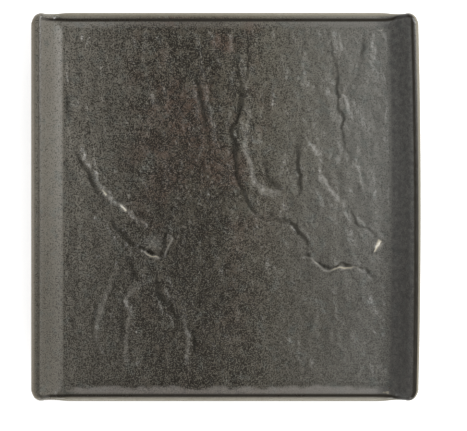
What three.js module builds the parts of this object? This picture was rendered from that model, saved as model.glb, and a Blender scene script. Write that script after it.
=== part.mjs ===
// A square stoneware serving platter: two raised ends, a low rolled lip along each of the other edges, and
// a well that carries the relief of riven slate. A clay body on a bare foot ring, under a coat of glaze.
// Millimetres, +Z up, the origin on the table under the platter's centre. X runs across the raised ends.
import * as THREE from "three";

// Finished sizes, over the glaze
const LENGTH = 300; // across the raised ends, without the bow
const WIDTH = 303; // across the low lips
const END_HEIGHT = 25; // top of a raised end over the table
const LIP_HEIGHT = 13.4; // top of a low lip
const WELL_HEIGHT = 10; // floor of the well
const RIGHT_BOW = 1.9; // how far the middle of the right end swings out
const CORNER_FLARE = 1.6; // how far the crest of a lip swings out on its way up to a raised end
const GLAZE = 0.5; // thickness of the glaze

// Plan sizes of the raised ends, the lips and the rolled edge
const END_RUN = 18.4; // from the foot of an end's inner slope to its crest
const LIP_RUN = 6.6; // the same for a lip
const END_EDGE = 4.7; // rolled edge outside an end's crest
const LIP_EDGE = 5; // rolled edge outside a lip's crest
const CORNER_EDGE = 2.1; // rolled edge where an end meets a lip
const EDGE_BLEND = 6; // a lip's edge starts to narrow and flare this far inside the foot of an end
const CREST_CORNER = 4.5; // corner radius of the crest, seen from above

// Rolled edge, seen in section
const END_THICK = 6.8; // from an end's crest down to its underside
const LIP_THICK = 5.4; // the same for a lip
const WIDEST = 0.52; // share of that thickness at which the edge is widest
const UNDER_EDGE = 2.4; // how far the edge turns back in below its widest point

// Underside
const FOOT_HEIGHT = 3; // from the table to the underside of the floor
const FOOT_WIDTH = 4.6; // bare flat of the foot ring
const FOOT_INSET = 9; // foot ring inside the edge of the well
const FOOT_DRAFT = 0.8; // lean of each side of the foot ring
const FOOT_CORNER = 14; // corner radius of the foot ring
const HEEL_INSET = 4; // the outer slope meets the flat underside this far inside the edge of the well
const HEEL_CORNER = 7; // corner radius of that line

// Slate relief: the pattern is drawn at this size and follows the floor when that changes
const DRAWN_SLATE = [246.8, 272.8];
const RELIEF = 1.3; // how many times its drawn rise a ledge is made
const LEDGE_REACH = 4.5; // a ledge fades out over so many widths on either side of its face
const LEDGE_END = 4; // and over this way past its ends
const SWELL = 0.32; // height of each of the waves in the floor
const FLOOR_BAND = 3; // plain band between the slate and the foot of the ends and lips

// Each ledge is a step in the slate along its points, which give x, y and its rise there, and is as wide as
// its broken face. Going along it, the face looks to the left hand (1) or to the right hand (-1). Most run
// from the back lip towards the front one, where these are the platter's right and left.
const LEDGES = [
  // left side of the well
  { looks: 1, width: 3.6, points: [[-115, 50, 0.5], [-106, 33, 1.2], [-96, 13, 1.6], [-83, 1, 2.2],
    [-71, -8, 0.8], [-58, -16, 0.5]] },
  { looks: -1, width: 3.2, points: [[-121, 50, 0.4], [-111, 32, 1.3], [-103, 16, 1], [-99, 8, 0.5]] },
  { looks: -1, width: 3.4, points: [[-92, -7, 0.3], [-86, -15, 1.1], [-73, -30, 1], [-69, -34, 0.4]] },
  // the pocket left of the middle
  { looks: 1, width: 1.8, points: [[-70, -31, 0.3], [-58, -38, 1.2], [-48, -38, 0.6]] },
  { looks: 1, width: 1.8, points: [[-47, -19, 0.3], [-43, -25, 1], [-47, -37, 1], [-50, -41, 0.4]] },
  // middle of the well
  { looks: -1, width: 3.4, points: [[8, 131, 0.5], [10, 102, 1.4], [12, 80, 2], [4, 58, 1.9], [8, 42, 1.5],
    [9, 23, 1.4], [16, 6, 1.6], [25, -7, 0.5]] },
  { looks: 1, width: 3.6, points: [[19, 100, 0.2], [19, 80, 1.2], [15, 50, 1.1], [20, 29, 1.4], [30, 10, 1.9],
    [44, 8, 0.6]] },
  { looks: 1, width: 4, points: [[-20, 118, 0.4], [-17, 95, 1], [-11, 70, 1.4], [-8, 50, 1], [0, 42, 0.4]] },
  { looks: 1, width: 2.6, points: [[-27, 103, 0.3], [-21, 80, 1], [-25, 59, 0.3]] },
  { looks: -1, width: 3, points: [[-21, 96, 0.3], [-18, 76, 1.2], [-17, 59, 0.3]] },
  { looks: -1, width: 3.2, points: [[38, -9, 0.5], [53, -14, 1.5], [62, -27, 1.6], [67, -34, 0.8]] },
  // right side of the well
  { looks: -1, width: 2.8, points: [[82, 134, 0.4], [87, 102, 1.6], [88, 80, 1.7], [91, 60, 1.7],
    [97, 42, 0.8]] },
  { looks: 1, width: 3.6, points: [[58, 59, 0.3], [69, 45, 2.2], [74, 28, 1.2], [84, 11, 1.8],
    [95, -3, 0.4]] },
  { looks: -1, width: 3, points: [[59, 48, 0.2], [58, 30, 1.6], [61, 13, 0.2]] },
  { looks: -1, width: 2.2, points: [[94, -2, 0.4], [101, -11, 1.4], [117, -21, 1.1], [120, -25, 0.4]] },
  { looks: 1, width: 4.6, points: [[123, -23, 0.5], [119, -30, 2.4], [114, -37, 0.4]] },
  { looks: -1, width: 4, points: [[109, 136, 0.3], [108, 124, 1], [106, 110, 0.4]] },
  { looks: 1, width: 4, points: [[114, 138, 0.3], [116, 127, 1], [115, 115, 0.4]] },
  // the crack across the right side
  { looks: -1, width: 2.4, points: [[59, -41, 0.4], [74, -46, 1.6], [84, -49, 0.3]] },
  { looks: -1, width: 3, points: [[104, -50, 0.4], [113, -56, 1.6], [117, -57, 0.6]] },
  // towards the front lip
  { looks: 1, width: 3.2, points: [[-79, -40, 0.4], [-94, -70, 0.9], [-100, -95, 1], [-98, -124, 0.5]] },
  { looks: -1, width: 3, points: [[-79, -36, 0.4], [-72, -50, 1], [-67, -59, 0.2]] },
  { looks: 1, width: 3.4, points: [[-59, -51, 0.4], [-73, -64, 1], [-77, -95, 1], [-75, -129, 0.5]] },
  { looks: -1, width: 3.6, points: [[-58, -50, 0.4], [-52, -68, 1.5], [-40, -82, 1.5], [-35, -98, 0.5]] },
  { looks: 1, width: 3, points: [[-37, -75, 0.4], [-30, -96, 1], [-31, -118, 0.8], [-25, -135, 0.3]] },
  { looks: -1, width: 4, points: [[-27, -88, 0.3], [-25, -104, 1.2], [-28, -120, 0.4]] },
];

// The waves under the ledges: length, heading in degrees from X, and the phase at the centre in degrees
const WAVES = [[62, 12, 23], [49, 75, 120], [40, 140, 229], [33, 48, 298], [28, 108, 74]];

// Divisions of the mesh
const RUN_CELLS = 4; // across an end's slope, up to the rounded corner
const CORNER_CELLS = 3; // across the rounded corner
const FLOOR_CELLS = 8; // along each side of the floor, at the foot of the ends and lips
const SLATE_CELLS = [44, 23]; // over the slate, finer across the ledges than along them
const DRAWN_IN = 1; // share of a cell over which the slate's nodes are drawn to a ledge
const CRISP = 0.3; // rise of a ledge from which they are
const ROUTE_STEP = 0.8; // millimetres between the places of a ledge that are measured from
const EDGE_CELLS = 3; // round each quarter of the rolled edge
const HEEL_CELLS = 5; // from the rolled edge in to the flat underside

// Sizes of the clay, inside the glaze
const crestX = LENGTH / 2 - GLAZE - END_EDGE;
const crestY = WIDTH / 2 - GLAZE - LIP_EDGE;
const floorX = crestX - END_RUN;
const floorY = crestY - LIP_RUN;
const floorZ = WELL_HEIGHT - GLAZE;
const endRise = END_HEIGHT - WELL_HEIGHT;
const lipRise = LIP_HEIGHT - WELL_HEIGHT;
const heelX = floorX - HEEL_INSET;
const heelY = floorY - HEEL_INSET;
const endUnderRise = END_HEIGHT - GLAZE - END_THICK - FOOT_HEIGHT;
const lipUnderRise = LIP_HEIGHT - GLAZE - LIP_THICK - FOOT_HEIGHT;

// A slope from 0 to 1 that starts at a share of its full pitch, steepens over its foot and eases into its
// crest
function slope(share, easeFoot, easeCrest, start) {
  const curved = (easeFoot * (1 - start)) / 2;
  const pitch = 1 / (1 - curved - easeCrest / 2);
  if (share <= 0) return 0;
  if (share >= 1) return 1;
  if (share < easeFoot) return pitch * (start * share + ((1 - start) * share * share) / (2 * easeFoot));
  if (share < 1 - easeCrest) return pitch * (share - curved);
  return 1 - (pitch * (1 - share) * (1 - share)) / (2 * easeCrest);
}

// The higher of two slopes, rounded where they meet
const higher = (one, two) => Math.pow(one ** 4 + two ** 4, 0.25);

// Height of the upper face, from the floor of the well up the ends and the lips
function upperHeight(x, y) {
  const end = endRise * slope((Math.abs(x) - floorX) / END_RUN, 0.55, 0.2, 0.3);
  const lip = lipRise * slope((Math.abs(y) - floorY) / LIP_RUN, 0.5, 0.3, 0.3);
  return floorZ + higher(end, lip);
}

// Height of the lower face, from the flat underside out to the rolled edge
function lowerHeight(x, y) {
  const endSpan = crestX + END_EDGE - UNDER_EDGE - heelX;
  const lipSpan = crestY + LIP_EDGE - UNDER_EDGE - heelY;
  const end = endUnderRise * slope((Math.abs(x) - heelX) / endSpan, 0.35, 0, 0);
  const lip = lipUnderRise * slope((Math.abs(y) - heelY) / lipSpan, 0.35, 0, 0);
  return FOOT_HEIGHT + higher(end, lip);
}

// Grid lines over one direction of the crest's rectangle: evenly over the floor, then up the slope and round
// the corner
function gridLines(half, floorHalf) {
  const lines = [];
  for (let i = 0; i <= FLOOR_CELLS / 2; i++) lines.push((floorHalf * 2 * i) / FLOOR_CELLS);
  const straight = half - CREST_CORNER - floorHalf;
  const cells = Math.max(1, Math.round((RUN_CELLS * straight) / END_RUN));
  for (let i = 1; i <= cells; i++) lines.push(floorHalf + (straight * i) / cells);
  for (let i = 1; i <= CORNER_CELLS; i++) {
    lines.push(half - CREST_CORNER + (CREST_CORNER * i) / CORNER_CELLS);
  }
  const mirrored = lines.slice(1).reverse().map((value) => -value);
  return [...mirrored, ...lines];
}

// Direction out of the crest's rectangle at a grid node, zero length inside its straight part
function outward(node) {
  const over = (value, half) => {
    const past = Math.max(0, Math.abs(value) - half + CREST_CORNER);
    return (Math.sign(value) * past) / CREST_CORNER;
  };
  return new THREE.Vector2(over(node.x, crestX), over(node.y, crestY));
}

// A grid node's place on a rounded rectangle of the given half sizes and corner radius
function place(node, halfX, halfY, radius) {
  const core = (value, half) => THREE.MathUtils.clamp(value / (half - CREST_CORNER), -1, 1);
  const out = outward(node);
  const reach = Math.max(Math.abs(out.x), Math.abs(out.y));
  const round = out.clone().normalize().multiplyScalar(radius * reach);
  return new THREE.Vector2(
    core(node.x, crestX) * (halfX - radius) + round.x,
    core(node.y, crestY) * (halfY - radius) + round.y,
  );
}

// How near a place along a lip is to the corner: 0 along the lip, 1 at the raised end
function nearCorner(x) {
  return THREE.MathUtils.smoothstep(Math.abs(x), floorX - EDGE_BLEND, crestX - CREST_CORNER);
}

// The plan: the right end swings out in the middle, and each lip flares out towards its corners
function swung({ x, y }) {
  const ofEnd = THREE.MathUtils.smoothstep(x, 0, floorX);
  const ofLip = THREE.MathUtils.clamp((Math.abs(y) - floorY) / LIP_RUN, 0, 1);
  const along = THREE.MathUtils.clamp(y / crestY, -1, 1);
  return new THREE.Vector2(
    x + RIGHT_BOW * ofEnd * (1 - along * along),
    y + Math.sign(y) * CORNER_FLARE * ofLip * nearCorner(x),
  );
}

// One closed mesh from points and triangles
function solidMesh(points, triangles) {
  const geometry = new THREE.BufferGeometry();
  const numbers = points.flatMap((point) => point.toArray());
  geometry.setAttribute("position", new THREE.Float32BufferAttribute(numbers, 3));
  geometry.setIndex(triangles.flat());
  return geometry;
}

// Plan width of the rolled edge at a station of the rim
function edgeWidth({ node, out }) {
  const onEnd = Math.abs(out.x) / (Math.abs(out.x) + Math.abs(out.y));
  const onLip = THREE.MathUtils.lerp(LIP_EDGE, CORNER_EDGE, nearCorner(node.x));
  return THREE.MathUtils.lerp(onLip, END_EDGE, onEnd);
}

// The rings of the outside, from the crest over the rolled edge and the foot ring to the panel within it
function outsideRings(rim) {
  const rings = [];
  const raise = (flat, z) => {
    const plan = swung(flat);
    return new THREE.Vector3(plan.x, plan.y, z);
  };
  const beside = ({ node, normal }, reach) =>
    place(node, crestX, crestY, CREST_CORNER).addScaledVector(normal, reach);
  const stations = rim.map((station) => {
    const width = edgeWidth(station);
    const under = beside(station, width - UNDER_EDGE);
    const low = lowerHeight(under.x, under.y);
    return { ...station, width, under, low, middle: THREE.MathUtils.lerp(station.z, low, WIDEST) };
  });
  for (let i = 1; i <= EDGE_CELLS; i++) {
    const angle = (Math.PI / 2) * (i / EDGE_CELLS);
    rings.push(stations.map((station) => raise(
      beside(station, station.width * Math.sin(angle)),
      station.middle + (station.z - station.middle) * Math.cos(angle),
    )));
  }
  for (let i = 1; i <= EDGE_CELLS; i++) {
    const angle = (Math.PI / 2) * (i / EDGE_CELLS);
    rings.push(stations.map((station) => raise(
      beside(station, station.width - UNDER_EDGE * (1 - Math.cos(angle))),
      station.middle + (station.low - station.middle) * Math.sin(angle),
    )));
  }
  for (let i = 1; i <= HEEL_CELLS; i++) {
    rings.push(stations.map((station) => {
      const heel = place(station.node, heelX, heelY, HEEL_CORNER);
      const flat = station.under.clone().lerp(heel, i / HEEL_CELLS);
      return raise(flat, lowerHeight(flat.x, flat.y));
    }));
  }
  const level = (inset, radius, z) => stations.map(({ node }) => {
    const flat = place(node, floorX - inset, floorY - inset, radius);
    return new THREE.Vector3(flat.x, flat.y, z);
  });
  const inner = FOOT_INSET + 2 * FOOT_DRAFT + FOOT_WIDTH;
  const innerCorner = FOOT_CORNER - 2 * FOOT_DRAFT - FOOT_WIDTH;
  rings.push(level(FOOT_INSET, FOOT_CORNER, FOOT_HEIGHT));
  rings.push(level(FOOT_INSET + FOOT_DRAFT, FOOT_CORNER - FOOT_DRAFT, 0));
  rings.push(level(inner - FOOT_DRAFT, innerCorner + FOOT_DRAFT, 0));
  rings.push(level(inner, innerCorner, FOOT_HEIGHT));
  return rings;
}

// Whole numbers from one to another, either way
function count(from, to) {
  return Array.from({ length: Math.abs(to - from) + 1 }, (_, k) => from + k * Math.sign(to - from));
}

// Places along each ledge with their direction and rise, which tapers off at its ends
const routes = LEDGES.map(({ looks, width, points }) => {
  const curve = new THREE.CatmullRomCurve3(points.map((point) => new THREE.Vector3(...point)));
  const steps = Math.ceil(curve.getLength() / ROUTE_STEP);
  const places = count(0, steps).map((k) => {
    const centre = curve.getPointAt(k / steps);
    const along = curve.getTangentAt(k / steps).setZ(0).normalize();
    const taper = Math.sin(Math.PI * (0.01 + (0.98 * k) / steps)) ** 0.4;
    return { centre, along, rise: centre.z * taper };
  });
  return { looks, width, places };
});

// Where a place on the slate lies by a ledge: the ledge's rise there, the way out of its face, how far the
// place lies out of the middle of the face, and how far past an end of the ledge
function besideLedge({ looks, places }, spot) {
  const away = (place) => Math.hypot(spot.x - place.centre.x, spot.y - place.centre.y);
  const { centre, along, rise } = places.reduce((best, place) => (away(place) < away(best) ? place : best));
  const out = new THREE.Vector2(-along.y, along.x).multiplyScalar(looks);
  const gap = new THREE.Vector2(spot.x - centre.x, spot.y - centre.y);
  return { rise, out, across: gap.dot(out), pastEnd: Math.abs(gap.dot(along)) };
}

// Height of the slate over the plain floor: each ledge is half its rise up behind its face and half its rise
// down in front of it, and the waves run under them all
function slateHeight(spot) {
  let height = 0;
  for (const route of routes) {
    const { rise, across, pastEnd } = besideLedge(route, spot);
    const step = 0.5 - THREE.MathUtils.smoothstep(across, -route.width / 2, route.width / 2);
    const fade = Math.max(0, 1 - Math.abs(across) / (LEDGE_REACH * route.width)) ** 2;
    height += RELIEF * rise * step * fade * (1 - THREE.MathUtils.smoothstep(pastEnd, 0, LEDGE_END));
  }
  for (const [length, heading, phase] of WAVES) {
    const angle = THREE.MathUtils.degToRad(heading);
    const way = spot.x * Math.cos(angle) + spot.y * Math.sin(angle);
    height += SWELL * Math.sin((2 * Math.PI * way) / length + THREE.MathUtils.degToRad(phase));
  }
  return height;
}

// A node of the slate, drawn to the edge of the nearest ledge's face so that the face stays crisp
function toLedge(spot, cell) {
  let best = { across: Infinity };
  for (const route of routes) {
    const { rise, out, across, pastEnd } = besideLedge(route, spot);
    const range = DRAWN_IN * Math.max(Math.abs(out.x) * cell.x, Math.abs(out.y) * cell.y);
    if (rise < CRISP || pastEnd > cell.x / 2 || Math.abs(across) > range) continue;
    if (Math.abs(across) < Math.abs(best.across)) best = { across, out, width: route.width };
  }
  if (!best.out) return spot;
  const edge = (Math.sign(best.across) * best.width) / 2;
  return spot.clone().addScaledVector(best.out, edge - best.across);
}

// The four sides of a block of grid nodes, once round against the clock, each with both its corners
function sidesOf(node, [firstX, lastX], [firstY, lastY]) {
  return [
    count(firstX, lastX).map((i) => node(i, firstY)),
    count(firstY, lastY).map((j) => node(lastX, j)),
    count(lastX, firstX).map((i) => node(i, lastY)),
    count(lastY, firstY).map((j) => node(firstX, j)),
  ];
}

// The clay body: a grid for the ends and lips round a finer one for the slate, rings for the outside, and a
// flat panel within the foot ring
function stonewareBody() {
  const points = [];
  const triangles = [];
  const quad = (a, b, c, d) => triangles.push([a, b, c], [a, c, d]);

  const linesX = gridLines(crestX, floorX);
  const linesY = gridLines(crestY, floorY);
  const lastX = linesX.length - 1;
  const lastY = linesY.length - 1;
  const floorSpanX = [(lastX - FLOOR_CELLS) / 2, (lastX + FLOOR_CELLS) / 2];
  const floorSpanY = [(lastY - FLOOR_CELLS) / 2, (lastY + FLOOR_CELLS) / 2];
  const inside = (k, [first, last]) => k >= first && k < last;
  const known = new Map();
  const frame = (i, j) => {
    const key = `${i} ${j}`;
    if (!known.has(key)) {
      const flat = place({ x: linesX[i], y: linesY[j] }, crestX, crestY, CREST_CORNER);
      const plan = swung(flat);
      known.set(key, points.push(new THREE.Vector3(plan.x, plan.y, upperHeight(flat.x, flat.y))) - 1);
    }
    return known.get(key);
  };
  for (const i of count(0, lastX - 1)) {
    for (const j of count(0, lastY - 1)) {
      if (inside(i, floorSpanX) && inside(j, floorSpanY)) continue;
      quad(frame(i, j), frame(i + 1, j), frame(i + 1, j + 1), frame(i, j + 1));
    }
  }

  const [slateX, slateY] = SLATE_CELLS;
  const first = points.length;
  const slate = (i, j) => first + i * (slateY + 1) + j;
  const cell = new THREE.Vector2(DRAWN_SLATE[0] / slateX, DRAWN_SLATE[1] / slateY);
  const scale = new THREE.Vector2(
    (2 * (floorX - FLOOR_BAND)) / DRAWN_SLATE[0],
    (2 * (floorY - FLOOR_BAND)) / DRAWN_SLATE[1],
  );
  for (const i of count(0, slateX)) {
    for (const j of count(0, slateY)) {
      const node = new THREE.Vector2(i - slateX / 2, j - slateY / 2).multiply(cell);
      const atEdge = i === 0 || j === 0 || i === slateX || j === slateY;
      const spot = atEdge ? node : toLedge(node, cell);
      const plan = swung(spot.clone().multiply(scale));
      points.push(new THREE.Vector3(plan.x, plan.y, floorZ + (atEdge ? 0 : slateHeight(spot))));
    }
  }
  for (const i of count(0, slateX - 1)) {
    for (const j of count(0, slateY - 1)) {
      quad(slate(i, j), slate(i + 1, j), slate(i + 1, j + 1), slate(i, j + 1));
    }
  }

  const slateSides = sidesOf(slate, [0, slateX], [0, slateY]);
  sidesOf(frame, floorSpanX, floorSpanY).forEach((outer, side) => {
    const inner = slateSides[side];
    let [a, b] = [0, 0];
    while (a + 1 < outer.length || b + 1 < inner.length) {
      if ((a + 1) * (inner.length - 1) <= (b + 1) * (outer.length - 1)) {
        triangles.push([outer[a], outer[a + 1], inner[b]]);
        a += 1;
      } else {
        triangles.push([inner[b], outer[a], inner[b + 1]]);
        b += 1;
      }
    }
  });

  const corners = sidesOf((i, j) => [i, j], [0, lastX], [0, lastY]).flatMap((side) => side.slice(0, -1));
  const rim = corners.map(([i, j]) => {
    const node = { x: linesX[i], y: linesY[j] };
    const out = outward(node);
    return { node, out, normal: out.clone().normalize(), z: points[frame(i, j)].z };
  });
  let above = corners.map(([i, j]) => frame(i, j));
  for (const ring of outsideRings(rim)) {
    const start = points.length;
    points.push(...ring);
    const below = ring.map((_, k) => start + k);
    for (let k = 0; k < ring.length; k++) {
      const next = (k + 1) % ring.length;
      quad(above[k], below[k], below[next], above[next]);
    }
    above = below;
  }
  const outline = above.map((k) => new THREE.Vector2(points[k].x, points[k].y));
  for (const [a, b, c] of THREE.ShapeUtils.triangulateShape(outline, [])) {
    triangles.push([above[a], above[c], above[b]]);
  }
  return solidMesh(points, triangles);
}

// A coat on those faces of a body that the test picks: their own surface inside, and that surface lifted
// outside
function coat(body, picks) {
  const position = body.attributes.position;
  const vertex = (k) => new THREE.Vector3().fromBufferAttribute(position, k);
  const faces = [];
  const lift = new Map();
  const edges = new Map();
  for (let k = 0; k < body.index.count; k += 3) {
    const face = [0, 1, 2].map((n) => body.index.getX(k + n));
    const corners = face.map(vertex);
    const centre = corners[0].clone().add(corners[1]).add(corners[2]).divideScalar(3);
    if (!picks(centre)) continue;
    faces.push(face);
    const normal = new THREE.Triangle(...corners).getNormal(new THREE.Vector3());
    face.forEach((id, n) => {
      const one = corners[(n + 1) % 3].clone().sub(corners[n]);
      const two = corners[(n + 2) % 3].clone().sub(corners[n]);
      if (!lift.has(id)) lift.set(id, new THREE.Vector3());
      lift.get(id).addScaledVector(normal, one.angleTo(two));
      edges.set(`${id} ${face[(n + 1) % 3]}`, [id, face[(n + 1) % 3]]);
    });
  }
  const ids = [...lift.keys()];
  const inner = new Map(ids.map((id, k) => [id, k]));
  const outer = new Map(ids.map((id, k) => [id, ids.length + k]));
  const points = [
    ...ids.map(vertex),
    ...ids.map((id) => vertex(id).addScaledVector(lift.get(id).normalize(), GLAZE)),
  ];
  const triangles = [];
  for (const [a, b, c] of faces) {
    triangles.push([outer.get(a), outer.get(b), outer.get(c)], [inner.get(a), inner.get(c), inner.get(b)]);
  }
  for (const [a, b] of edges.values()) {
    if (edges.has(`${b} ${a}`)) continue;
    triangles.push([outer.get(b), outer.get(a), inner.get(a)], [outer.get(b), inner.get(a), inner.get(b)]);
  }
  return solidMesh(points, triangles);
}

// Whether a point lies inside the middle line of the foot ring, seen from above
function withinFoot(point) {
  const middle = FOOT_DRAFT + FOOT_WIDTH / 2;
  const radius = FOOT_CORNER - middle;
  const overX = Math.max(Math.abs(point.x) - (floorX - FOOT_INSET - middle - radius), 0);
  const overY = Math.max(Math.abs(point.y) - (floorY - FOOT_INSET - middle - radius), 0);
  return Math.hypot(overX, overY) < radius;
}

// Everything above the foot ring is glazed, and the ring parts the panel within it from the rest
const aboveFoot = (point) => point.z > FOOT_HEIGHT - 0.01;
const onPanel = (point) => aboveFoot(point) && withinFoot(point) && point.z < (FOOT_HEIGHT + floorZ) / 2;
const onCoat = (point) => aboveFoot(point) && !onPanel(point);

function part(name, geometry, colour, roughness) {
  const material = new THREE.MeshStandardMaterial({ color: colour, roughness, metalness: 0 });
  const mesh = new THREE.Mesh(geometry, material);
  mesh.name = name;
  return mesh;
}

const body = stonewareBody();
const platter = new THREE.Group();
platter.position.x = -RIGHT_BOW / 2;
platter.add(part("stoneware_body", body, 0xa08f78, 0.8));
platter.add(part("glaze_coat", coat(body, onCoat), 0x5e5a54, 0.3));
platter.add(part("base_glaze", coat(body, onPanel), 0x5e5a54, 0.3));

export default platter;
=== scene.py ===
import math
from collections import namedtuple

import bpy
import numpy as np
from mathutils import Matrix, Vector, noise


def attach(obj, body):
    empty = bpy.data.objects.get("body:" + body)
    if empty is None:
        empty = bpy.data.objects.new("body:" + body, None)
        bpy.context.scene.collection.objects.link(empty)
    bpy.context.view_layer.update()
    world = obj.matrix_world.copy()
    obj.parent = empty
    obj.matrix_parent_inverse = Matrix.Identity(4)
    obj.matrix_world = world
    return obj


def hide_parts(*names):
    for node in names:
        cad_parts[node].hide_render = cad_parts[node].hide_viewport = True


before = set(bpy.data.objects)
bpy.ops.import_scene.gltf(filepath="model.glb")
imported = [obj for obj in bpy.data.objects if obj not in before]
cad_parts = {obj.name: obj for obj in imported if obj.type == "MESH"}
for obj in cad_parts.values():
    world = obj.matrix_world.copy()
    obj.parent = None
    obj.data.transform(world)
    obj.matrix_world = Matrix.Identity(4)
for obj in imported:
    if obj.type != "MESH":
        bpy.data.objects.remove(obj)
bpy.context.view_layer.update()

# A square stoneware platter with a slate relief in its well, seen from straight above on white. The fine
# glaze and the clay under it are made here from the same sizes as the solids, in millimetres.
MM = 0.001

# Finished sizes, over the glaze
LENGTH = 300.0
WIDTH = 303.0
END_HEIGHT = 25.0
LIP_HEIGHT = 13.4
WELL_HEIGHT = 10.0
RIGHT_BOW = 1.9
CORNER_FLARE = 1.6
GLAZE = 0.5

# Plan sizes of the raised ends, the lips and the rolled edge
END_RUN = 18.4
LIP_RUN = 6.6
END_EDGE = 4.7
LIP_EDGE = 5.0
CORNER_EDGE = 2.1
EDGE_BLEND = 6.0
CREST_CORNER = 4.5

# Rolled edge in section, the underside, and the bead in which the glaze ends at the foot ring
END_THICK = 6.8
LIP_THICK = 5.4
WIDEST = 0.52
UNDER_EDGE = 2.4
FOOT_HEIGHT = 3.0
FOOT_WIDTH = 4.6
FOOT_INSET = 9.0
FOOT_DRAFT = 0.8
FOOT_CORNER = 14.0
FOOT_ROUND = 0.5
HEEL_INSET = 4.0
HEEL_CORNER = 7.0
GLAZE_BEAD = 0.1

# Slopes: the share that eases out of the foot, the share that eases into the crest, and the share of the
# full pitch at the foot
END_SLOPE = (0.6, 0.2, 0.3)
LIP_SLOPE = (0.3, 0.3, 0.6)
UNDER_SLOPE = (0.35, 0, 0)

# The clay, inside the glaze
CREST_X = LENGTH / 2 - GLAZE - END_EDGE
CREST_Y = WIDTH / 2 - GLAZE - LIP_EDGE
FLOOR_X = CREST_X - END_RUN
FLOOR_Y = CREST_Y - LIP_RUN
FLOOR_Z = WELL_HEIGHT - GLAZE
HEEL_X = FLOOR_X - HEEL_INSET
HEEL_Y = FLOOR_Y - HEEL_INSET

# Cells of the clay's mesh, and how many times finer the glaze is
FLOOR_CELLS_X = 40
FLOOR_CELLS_Y = 44
END_CELLS = 4
LIP_CELLS = 1
CORNER_CELLS = 2
FINER = 4
EDGE_RINGS = 8
HEEL_RINGS = 10

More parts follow.
